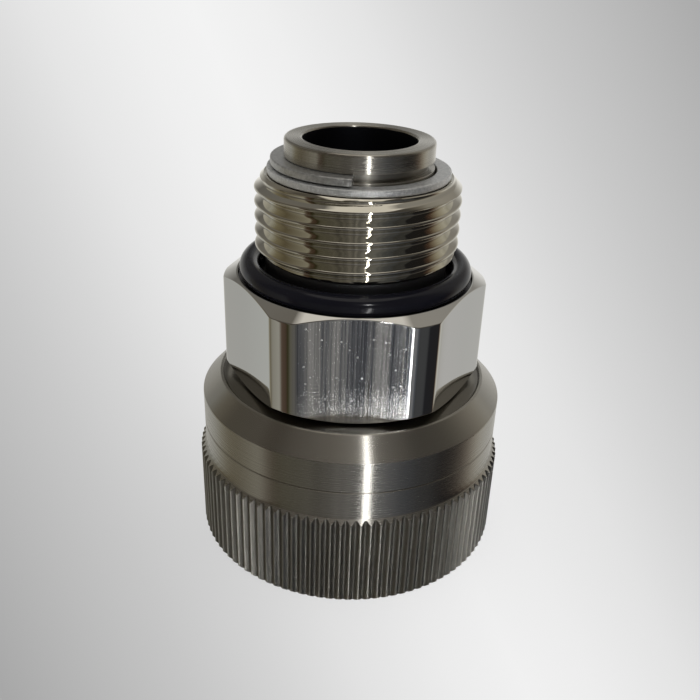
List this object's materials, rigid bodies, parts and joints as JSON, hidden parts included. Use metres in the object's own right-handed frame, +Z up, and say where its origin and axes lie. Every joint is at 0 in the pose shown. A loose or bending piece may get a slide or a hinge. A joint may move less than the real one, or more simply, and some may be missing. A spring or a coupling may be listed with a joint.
{
  "type": "reducing connector",
  "caption": "Swivel pipe connector that joins a larger pipe in a knurled union nut to a smaller one on a threaded hexagon body.",
  "frame": {"origin": "centre of the collar's underside, on the bore's axis", "axes": "+Z up the bore towards the outside thread; -Y is the side of the picture's camera, square to one flat of the hexagon"},
  "size_m": [0.054, 0.054, 0.0701],
  "materials": {
    "collar_steel": "satin turned gunmetal grey",
    "stem_steel": "satin turned gunmetal grey",
    "nickel_plate": "bright nickel plate",
    "washer_steel": "stamped, plain",
    "ring_steel": "stamped, satin",
    "gasket_rubber": "matt black",
    "seal_rubber": "smooth black"
  },
  "bodies": {
    "collar": {"knurled_collar": "collar_steel"},
    "stem": {"stem_tube": "stem_steel", "retaining_ring": "ring_steel", "face_gasket": "gasket_rubber", "lower_packing": "seal_rubber", "upper_packing": "seal_rubber"},
    "body": {"hex_body": "nickel_plate", "thrust_washer": "washer_steel", "body_seal": "seal_rubber"}
  },
  "joints": [
    {"name": "collar_swivel", "type": "hinge", "parent": "collar", "child": "stem", "pos_m": [0, 0, 0.024], "axis": [0, 0, 1], "continuous": true},
    {"name": "body_swivel", "type": "hinge", "parent": "stem", "child": "body", "pos_m": [0, 0, 0.0475], "axis": [0, 0, 1], "continuous": true}
  ]
}
